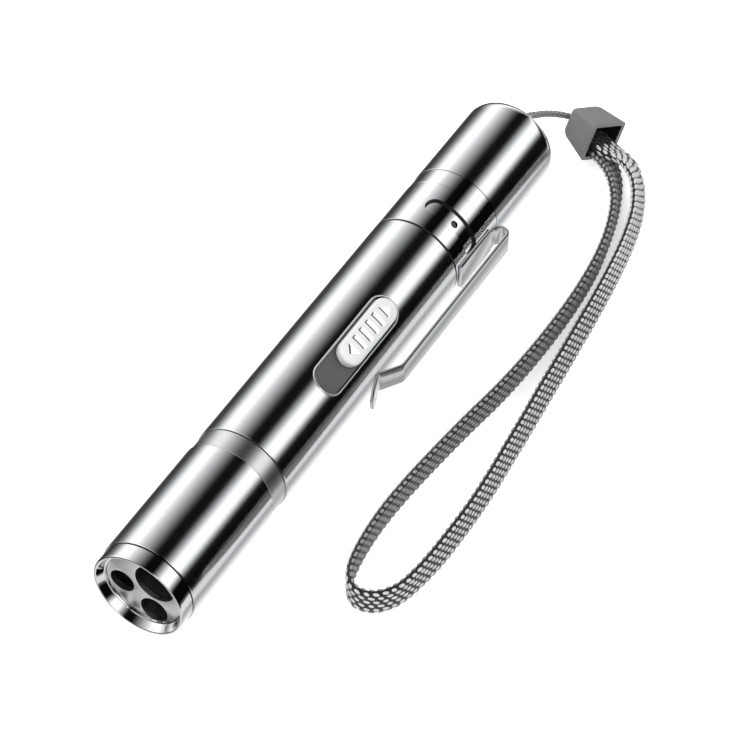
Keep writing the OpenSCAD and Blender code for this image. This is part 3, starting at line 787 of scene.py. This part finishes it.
def buildEndCap():
    length, wall = endCap["length"], endCap["wall"]
    piece = block("endCap", (length, *endCap["mouthSize"]), (length / 2, 0, 0))
    shrink = [end / mouth for end, mouth in zip(endCap["endSize"], endCap["mouthSize"])]
    for corner in piece.data.vertices:
        if corner.co.x > length / 2 * mm:
            corner.co.y *= shrink[0]
            corner.co.z *= shrink[1]
    # the closed end is rounded generously, the long edges a little, the mouth stays square
    weights = piece.data.attributes.new("bevel_weight_edge", "FLOAT", "EDGE")
    for edge in piece.data.edges:
        ends = sorted(piece.data.vertices[v].co.x for v in edge.vertices)
        closed = ends[0] > length / 2 * mm
        along = ends[1] - ends[0] > length / 2 * mm
        weights.data[edge.index].value = 1.0 if closed else 0.4 if along else 0.0
    only(piece)
    bevel = piece.modifiers.new("corners", "BEVEL")
    bevel.width = endCap["rounding"] * mm
    bevel.segments = 8
    bevel.limit_method = "WEIGHT"
    bpy.ops.object.modifier_apply(modifier="corners")
    hollow = block(
        "hollow",
        (endCap["depth"] * 2, *(side - 2 * wall for side in endCap["mouthSize"])),
        (0, 0, 0),
        0.3,
    )
    cut(piece, hollow)
    smooth(piece, 40)
    deep = (endCap["depth"] + 0.1) * mm
    wide = (endCap["mouthSize"][0] / 2 - wall + 0.15) * mm
    inside = [
        face.index
        for face in piece.data.polygons
        if 0.01 * mm < face.center.x < deep
        and max(abs(face.center.y), abs(face.center.z)) < wide
    ]
    turn = Matrix.Translation([v * mm for v in endCap["mouth"]])
    turn = turn @ Matrix.Rotation(math.radians(endCap["heading"]), 4, "Z")
    turn = turn @ Matrix.Rotation(math.radians(endCap["roll"]), 4, "X")
    piece.matrix_world = turn
    settle(piece)
    dress(piece, capRubber, "tail", ["lanyard_cap"])
    # the hollow is painted black inside as shade
    piece.data.materials.append(nylonBlack)
    for index in inside:
        piece.data.polygons[index].material_index = 1
    return piece


cap = buildEndCap()


print("head")
head = {
    "faceDepth": 1.5,
    "plateThick": 0.9,
    "lampTip": 3.0,
    "lampBack": 8.95,
    # centre across and up from the tube's axis, and radius
    "holes": {
        "white": ((1.95, 2.2), 3.2),
        "violet": ((1.55, -3.65), 2.2),
        "laser": ((-3.5, -0.4), 1.95),
    },
}


def buildFrontRing():
    # bevelled inside like a funnel, with a narrow flat rim and a fine bead at its base
    piece = spun(
        "frontRing",
        [
            (6.05, 1.5), (6.12, 1.32), (6.3, 1.22), (6.42, 1.05), (6.8, 0.16), (6.86, 0.05),
            (6.96, 0.0), (7.1, 0.0), (7.22, 0.06), (7.28, 0.16), (7.3, 0.3), (7.3, 2.62),
            (7.22, 2.74), (6.87, 2.76), (6.87, 6.3), (6.38, 6.3), (6.38, 1.5),
        ],
    )
    smooth(piece, 24)
    return dress(piece, polishedSteel, "torch", ["bezel_ring"])


def buildFacePlate():
    depth, thick = head["faceDepth"] + 0.03, head["plateThick"] - 0.04
    back = depth + thick
    piece = spun("facePlate", [(0, depth), (6.33, depth), (6.33, back), (0, back)])
    for (x, z), radius in head["holes"].values():
        deselectAll()
        bpy.ops.mesh.primitive_cylinder_add(
            vertices=96,
            radius=radius * mm,
            depth=4 * mm,
            location=(axisX + x * mm, rimY + depth * mm, axisZ + z * mm),
            rotation=(math.pi / 2, 0, 0),
        )
        cut(piece, bpy.context.object)
    roundEdges(piece, 0.09, 3, 50)
    smooth(piece, 40)
    return dress(piece, satinSteel, "torch", ["face_plate"])


def buildLamp(name, centre, radius, material, node):
    # a cast epoxy bullet: dome, straight barrel, flange
    tip, back, flange = head["lampTip"], head["lampBack"], radius + 0.38
    end = back + 0.95
    dome = [
        (radius * math.sin(math.radians(a)), tip + radius * (1 - math.cos(math.radians(a))))
        for a in range(0, 91, 9)
    ]
    piece = spun(
        name,
        dome + [(radius, back), (flange, back), (flange, end), (0, end)],
        steps=64,
        centre=centre,
    )
    smooth(piece, 30)
    return dress(piece, material, "torch", [node])


def buildHead():
    buildFrontRing()
    buildFacePlate()
    white, violet = head["holes"]["white"][0], head["holes"]["violet"][0]
    buildLamp("whiteLamp", white, 2.5, whiteLampEpoxy, "white_led")
    buildLamp("violetLamp", violet, 1.5, violetLampEpoxy, "uv_led")
    sleeve = spun(
        "headSleeve",
        [
            (7.42, 2.84), (tubeRadius, 2.92), (tubeRadius, 23.3), (7.44, 23.4),
            (6.9, 23.4), (6.9, 2.84),
        ],
    )
    smooth(sleeve, 24)
    dress(sleeve, brushedSteel, "torch", ["head_sleeve"])
    ring = spun(
        "jointRing",
        [
            (7.2, 23.44), (7.3, 23.54), (7.3, 26.76), (7.2, 26.88), (6.86, 26.88),
            (6.86, 30.3), (6.36, 30.3), (6.36, 20.0), (6.86, 20.0), (6.86, 23.44),
        ],
    )
    smooth(ring, 24)
    dress(ring, satinSteel, "torch", ["joint_ring"])


buildHead()


print("body tube and switch")
switch = {
    "angle": 38,
    "slotMiddle": 51.2,
    "slotWidth": 4.8,
    "slotLength": 20.0,
    "lip": 0.13,
    "buttonMiddle": 54.1,
    "buttonWidth": 4.1,
    "buttonLength": 13.6,
    "buttonBase": 6.82,
    "crown": 8.2,
    "markPitch": 1.75,
}


def wrapRound(piece, radius):
    # bends a flat piece, drawn with Z from the tube's axis, over a cylinder along Y
    for corner in piece.data.vertices:
        x = min(abs(corner.co.x), radius * mm * 0.98)
        corner.co.z -= radius * mm - math.sqrt((radius * mm) ** 2 - x * x)


def sliceAcross(piece, step, half):
    # cuts along the piece, so that it can bend over the tube
    only(piece)
    editMode()
    x = -half
    while x <= half + 1e-6:
        selectMesh()
        bpy.ops.mesh.bisect(plane_co=(x * mm, 0, 0), plane_no=(1, 0, 0))
        x += step
    selectMesh()
    bpy.ops.mesh.remove_doubles(threshold=weld / 2)
    objectMode()


def buildSlotLip():
    # the slot's edge is drawn up into a bright bead
    width = switch["slotWidth"] + 2 * switch["lip"]
    length = switch["slotLength"] + 2 * switch["lip"]
    outline = pill("slotLip", width, length, 7.0, tubeRadius, 96)
    only(outline)
    editMode()
    selectMesh("DESELECT")
    objectMode()
    for corner in outline.data.vertices:
        corner.select = corner.co.z < 7.2 * mm
    editMode()
    bpy.ops.mesh.delete(type="VERT")
    selectMesh()
    bpy.ops.mesh.delete(type="ONLY_FACE")
    objectMode()
    for corner in outline.data.vertices:
        corner.co.z = tubeRadius * mm
    bpy.ops.object.convert(target="CURVE")
    curve = bpy.context.object
    curve.data.bevel_depth = switch["lip"] * mm
    curve.data.bevel_resolution = 4
    bpy.ops.object.convert(target="MESH")
    lip = bpy.context.object
    wrapRound(lip, tubeRadius)
    return layOn(lip, switch["angle"], switch["slotMiddle"])


def buildBodyTube():
    piece = spun(
        "bodyTube",
        [
            (7.42, 26.94), (tubeRadius, 27.02), (tubeRadius, 75.04), (7.38, 75.16),
            (6.9, 75.16), (6.9, 26.94),
        ],
        steps=256,
    )
    slot = pill("slot", switch["slotWidth"], switch["slotLength"], 5.5, 9.0, 96)
    layOn(slot, switch["angle"], switch["slotMiddle"])
    cut(piece, slot)
    smooth(piece, 24)
    roundShading(piece)
    lip = buildSlotLip()
    smooth(lip, 60)
    dress(lip, polishedSteel, "torch")
    lip.name = "slotLip"
    return dress(piece, brushedSteel, "torch", ["body_tube"])


def raisedMark(name, corners, low, high):
    # a low raised mark with softened edges, from its outline's corners in mm
    flat = [(x * mm, y * mm, low * mm) for x, y in corners]
    piece = newPiece(name, flat, [tuple(range(len(corners)))])
    editMode()
    selectMesh()
    bpy.ops.mesh.extrude_region_move(TRANSFORM_OT_translate={"value": (0, 0, (high - low) * mm)})
    objectMode()
    faceOutwards(piece)
    roundEdges(piece, 0.07, 2, 40)
    return piece


def buildButton():
    width, length = switch["buttonWidth"], switch["buttonLength"]
    top = switch["crown"]
    piece = pill("switchButton", width, length, switch["buttonBase"], top, 96)
    only(piece)
    editMode()
    selectMesh("DESELECT")
    objectMode()
    for face in piece.data.polygons:
        face.select = face.normal.z > 0.9
    editMode()
    # the top's edge rolls over in a quarter round
    bpy.ops.mesh.inset(thickness=0.0, depth=0.0)
    roll, steps = 0.42, 6
    for i in range(steps):
        a, b = math.pi / 2 * i / steps, math.pi / 2 * (i + 1) / steps
        bpy.ops.mesh.inset(thickness=roll * (math.cos(a) - math.cos(b)) * mm, depth=0.0)
        bpy.ops.transform.translate(value=(0, 0, roll * (math.sin(b) - math.sin(a)) * mm))
    selectMesh()
    bpy.ops.mesh.remove_doubles(threshold=weld / 2)
    objectMode()
    for corner in piece.data.vertices:
        if corner.co.z > (switch["buttonBase"] + 0.1) * mm:
            corner.co.z -= roll * mm
    sliceAcross(piece, 0.2, width / 2 - 0.05)
    wrapRound(piece, switch["crown"])
    for corner in piece.data.vertices:
        corner.co.z = max(corner.co.z, switch["buttonBase"] * mm)
    smooth(piece, 35)
    layOn(piece, switch["angle"], switch["buttonMiddle"])
    dress(piece, buttonAbs, "switch", ["switch_button"])
    # raised white marks, each with a grey line painted as its shadow along its front and its far
    # side
    for name, material, shift, low, high in (
        ("buttonMarks", markWhite, 0.0, -0.2, 0.12),
        ("markShadowLines", markShadowTone, -0.2, -0.2, 0.06),
    ):
        marks = []
        for i in range(4):
            y = (i - 1.5) * switch["markPitch"] + shift
            left, right = shift - 1.2, shift + 1.2
            outline = [(left, y - 0.36), (right, y - 0.36), (right, y + 0.36), (left, y + 0.36)]
            marks.append(raisedMark("bar", outline, top + low, top + high))
        for side in (-1, 1):
            base, point = side * 4.15 + shift, side * 5.4 + shift
            outline = [(shift - 1.1, base), (shift + 1.1, base), (shift, point)]
            marks.append(raisedMark("arrow", outline, top + low, top + high))
        marks = joined(marks, name)
        sliceAcross(marks, 0.3, 1.5)
        wrapRound(marks, switch["crown"])
        smooth(marks, 35)
        layOn(marks, switch["angle"], switch["buttonMiddle"])
        dress(marks, material, "switch")


buildBodyTube()
buildButton()


print("neck and clip")
neck = {
    "start": 75.5,
    "bandLength": 9.2,
    "end": 91.3,
    "windowLow": -5.0,
    "windowHigh": 83.0,
    "windowWidth": 3.1,
    "bandMiddle": 7.3,
    "indicator": 79.9,
}
clip = {
    "angle": 90,
    "width": 3.55,
    "tabWidth": 4.4,
    "thick": 0.5,
    "outline": [(10.6, 54.4), (8.35, 51.2), (9.9, 46.7)],
    "bendMiddle": (9.15, 85.3),
    "bendRadius": 1.2,
    # where the bend starts to give, and which way across the strip
    "root": (8.2, 85.3),
    "slope": (0.5, -0.036),
}


def buildNeck():
    # spigot, seat of the band, collar, and the end wall that holds the plug
    start, end = neck["start"], neck["end"]
    collar = start + neck["bandLength"]
    piece = spun(
        "neck",
        [
            (6.5, 71.9), (6.85, 72.0), (6.85, start), (7.05, start), (7.05, collar),
            (7.34, collar), (7.4, collar + 0.08), (7.4, 87.7), (7.34, 87.78), (6.8, 87.78),
            (6.8, end - 0.1), (6.72, end), (0, end), (0, end - 3), (6.5, end - 3),
        ],
    )
    hole = pill("indicatorHole", 1.2, 1.2 + 1e-4, 6.0, 9.0, 48)
    layOn(hole, switch["angle"], neck["indicator"])
    cut(piece, hole)
    opening = block("plugHole", (12.1, 8, 4.6), (0, 0, 0))
    layOn(opening, switch["angle"], 90)
    cut(piece, opening)
    smooth(piece, 24)
    roundShading(piece)
    return dress(piece, polishedSteel, "torch", ["neck_sleeve"])


def buildBand():
    start, length = neck["start"] + 0.06, neck["bandLength"] - 0.12
    end = start + length
    piece = spun(
        "clipBand",
        [
            (7.38, start), (7.47, start + 0.09), (7.47, end - 0.09), (7.38, end),
            (7.08, end), (7.08, start),
        ],
        steps=256,
    )
    middle = start + length / 2
    around = math.radians(neck["windowHigh"] - neck["windowLow"]) * neck["bandMiddle"]
    # the window is drawn flat, turned across the tube and bent round it
    window = pill("window", neck["windowWidth"], around, 6.8, 8.2)
    window.rotation_euler.z = math.pi / 2
    settle(window)
    sliceAcross(window, 0.4, around / 2)
    for corner in window.data.vertices:
        turn, reach = corner.co.x / (neck["bandMiddle"] * mm), corner.co.z
        corner.co.x, corner.co.z = math.sin(turn) * reach, math.cos(turn) * reach
    layOn(window, (neck["windowHigh"] + neck["windowLow"]) / 2, middle)
    cut(piece, window)
    # a black ring fills the gap between the body tube and the band as painted shadow
    gapShadowRing = spun("bandGapShadowRing", [(7.08, 75.18), (7.4, 75.18), (7.4, 75.54), (7.08, 75.54)])
    smooth(gapShadowRing, 30)
    dress(gapShadowRing, blackAbs, "torch")
    split = block("split", (0.8, 12, 3), (0, 0, 7.5))
    layOn(split, clip["angle"] + 180, middle)
    cut(piece, split)
    smooth(piece, 24)
    roundShading(piece)
    tab = block("tab", (clip["tabWidth"], length, 0.75), (0, 0, 7.82), 0.12, 2)
    smooth(tab, 30)
    layOn(tab, clip["angle"], middle)
    dress(tab, clipSteel, "torch")
    tab.name = "clipTab"
    tab.visible_glossy = False
    dress(piece, polishedSteel, "torch", ["clip_band"])
    # the cut edges of the window and the split are painted black as shade
    piece.data.materials.append(blackAbs)
    for face in piece.data.polygons:
        reach = math.hypot(face.center.x - axisX, face.center.z - axisZ) / mm
        along = (face.center.y - rimY) / mm
        if 7.1 < reach < 7.45 and start + 0.2 < along < end - 0.2:
            face.material_index = 1
    return piece


def stripPath():
    # the strip's middle line, as (distance from the axis, distance from the rim)
    half = clip["thick"] / 2
    x, h = clip["bendMiddle"]
    points = [(x - clip["bendRadius"], h - 0.6)]
    for a in range(0, 181, 10):
        turn = math.radians(180 - a)
        across, along = clip["bendRadius"] * math.cos(turn), clip["bendRadius"] * math.sin(turn)
        points.append((x + across, h + along))
    (armX, armH), (footX, footH), (tipX, tipH) = clip["outline"]
    points += [
        (armX - half, armH + 20), (armX - half, armH + 0.4), (armX - half - 0.1, armH - 0.1),
        (footX - half + 0.35, footH + 0.35), (footX - half + 0.05, footH + 0.05),
        (footX - half + 0.02, footH - 0.35), (tipX - half, tipH),
    ]
    return points


def buildClip():
    # one strip of spring steel, drawn as a line and given its width, thickness and rounded edges
    points = stripPath()
    half = clip["width"] / 2 * mm
    corners = []
    for x, h in points:
        corners += [(-half, h * mm, x * mm), (half, h * mm, x * mm)]
    faces = [(2 * i, 2 * i + 1, 2 * i + 3, 2 * i + 2) for i in range(len(points) - 1)]
    piece = newPiece("clip", corners, faces)
    solid = piece.modifiers.new("sheet", "SOLIDIFY")
    solid.thickness = clip["thick"] * mm
    solid.offset = 0
    bpy.ops.object.modifier_apply(modifier="sheet")
    # the tip is rounded in plan
    tipH = clip["outline"][2][1]
    rounded = pill("tipShape", clip["width"] + 0.02, 90, 5, 14, 64)
    rounded.location.y = (tipH - 0.15 + 45) * mm
    settle(rounded)
    cut(piece, rounded, operation="INTERSECT")
    roundEdges(piece, 0.07, 2, 50)
    smooth(piece, 25)
    piece.matrix_world = outward(clip["angle"], 0, 0)
    settle(piece)
    dress(piece, clipSteel)
    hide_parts("clip_arm")
    piece.visible_glossy = False  # no dark image of the clip in the tube beside it
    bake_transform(piece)


buildNeck()
buildBand()
buildClip()


print("tail")
tail = {
    "start": 87.83,
    "end": 106.5,
    "round": 2.4,
    "recess": 2.2,
    "bore": 6.9,
    "wall": 2.4,
    "bar": 105.6,
}


def buildTail():
    start, end, r = tail["start"], tail["end"], tail["round"]
    corner = []
    for a in range(0, 91, 6):
        turn = math.radians(a)
        corner.append((tubeRadius - r + r * math.cos(turn), end - r + r * math.sin(turn)))
    recess, bore, inside = tail["recess"], tail["bore"], end - tail["wall"]
    profile = [(7.42, start), (tubeRadius, start + 0.08)] + corner
    profile += [(recess + 0.15, end), (recess, end - 0.15), (recess, inside)]
    profile += [(bore, inside), (bore, start)]
    piece = spun("tailCap", profile)
    smooth(piece, 24)
    dress(piece, brushedSteel, "tail", ["tail_cap"])
    # the bar is turned along the tube, then swung across it about its own middle
    low, high = tail["bar"] - 2.15, tail["bar"] + 2.15
    bar = spun("lanyardBar", [(0, low), (0.5, low), (0.5, high), (0, high)], steps=32)
    middle = Vector((axisX, rimY + tail["bar"] * mm, axisZ))
    swing = Matrix.Rotation(math.pi / 2, 4, "Z")
    bar.matrix_world = Matrix.Translation(middle) @ swing @ Matrix.Translation(-middle)
    settle(bar)
    smooth(bar, 30)
    dress(bar, satinSteel, "tail", ["lanyard_pin"])


buildTail()


print("inner pieces")
finishes = {
    "optic_holder": blackAbs,
    "laser_barrel": anodised,
    "laser_lens": laserGlass,
    "laser_diode": gold,
    "led_board": boardGreen,
    "battery_cell": cellWrap,
    "battery_tabs": nickelPlate,
    "battery_lead_pos": redSilicone,
    "battery_lead_neg": blackSilicone,
    "lamp_leads": whiteSilicone,
    "chassis": blackAbs,
    "main_board": boardGreen,
    "charge_chip": chipEpoxy,
    "board_passives": ceramic,
    "slide_switch": nickelPlate,
    "switch_lever": nylonBlack,
    "switch_carrier": nylonBlack,
    "switch_tray": trayAbs,
    "indicator_led": chipPhosphor,
    "indicator_lens": indicatorWindow,
    "usb_shell": nickelPlate,
    "usb_tongue": tongueWhite,
    "usb_contacts": gold,
    "tail_liner": blackAbs,
}
for name, material in finishes.items():
    dress(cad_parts[name], material)


print("floor and light")
bpy.context.scene.view_settings.view_transform = "Standard"


def buildFloor():
    deselectAll()
    bpy.ops.mesh.primitive_plane_add(size=4, location=(0, 0, 0))
    floor = bpy.context.object
    floor.name = "floor"
    material, tree, shader = newMaterial(
        "whiteGlowingPaper",
        {
            "Base Color": toLinear("#fafafa"),
            "Roughness": 0.9,
            "Emission Color": toLinear("#ffffff"),
            "Emission Strength": 0.55,
        },
    )
    surface(tree, shader, grain(tree, (2.5, 2.5, 2.5)), 0.01)
    floor.data.materials.append(material)
    floor.visible_glossy = False  # the steel mirrors the studio, not the paper


studio = {
    # angle round the torch from straight up, in degrees, and how bright the studio is there
    "bands": [
        (-180, 225), (-155, 190), (-140, 110), (-122, 44), (-104, 70), (-90, 131), (-76, 222),
        (-69, 252), (-50, 252), (-38, 205), (-20, 137), (-8, 73), (0, 12), (19, 6), (23, 60),
        (31, 150), (38, 215), (43, 255), (60, 255), (66, 215), (72, 130), (79, 8), (110, 5),
        (117, 90), (121, 205), (134, 212), (146, 150), (158, 178), (180, 225),
    ],
    "steelTone": 0.74,
    "strength": 1.12,
}


def buildStudio():
    # long softboxes beside the table with dark gaps between them, all lying along the torch
    world = bpy.data.worlds.new("studio")
    bpy.context.scene.world = world
    world.use_nodes = True
    tree = world.node_tree
    background = tree.nodes["Background"]
    background.inputs["Strength"].default_value = studio["strength"] / studio["steelTone"]
    coordinates = addNode(tree, "ShaderNodeTexCoord")
    direction = coordinates.outputs["Generated"]
    parts = addNode(tree, "ShaderNodeSeparateXYZ", links={"Vector": direction})
    angle = addNode(tree, "ShaderNodeMath", {"operation": "ARCTAN2"})
    tree.links.new(parts.outputs["X"], angle.inputs[0])
    tree.links.new(parts.outputs["Z"], angle.inputs[1])
    turn = addNode(
        tree,
        "ShaderNodeMapRange",
        {"From Min": -math.pi, "From Max": math.pi},
        {"Value": angle.outputs["Value"]},
    )
    stops = [((a + 180) / 360, "#" + f"{level:02x}" * 3) for a, level in studio["bands"]]
    turned = {"Fac": turn.outputs["Result"]}
    addNode(tree, "ShaderNodeValToRGB", {"stops": stops}, turned, background.inputs["Color"])


def softbox(name, place, aim, size, power):
    data = bpy.data.lights.new(name, "AREA")
    data.shape = "DISK"
    data.size = size
    data.energy = power
    light = bpy.data.objects.new(name, data)
    bpy.context.scene.collection.objects.link(light)
    light.location = place
    light.rotation_euler = (Vector(place) - Vector(aim)).to_track_quat("Z", "Y").to_euler()
    light.visible_glossy = False


buildFloor()
buildStudio()
softbox("keyLight", (-0.25, -0.35, 0.7), (0, 0, 0), 0.7, 4.5)
softbox("fillLight", (0.5, 0.1, 0.6), (0, 0, 0), 0.6, 2.5)
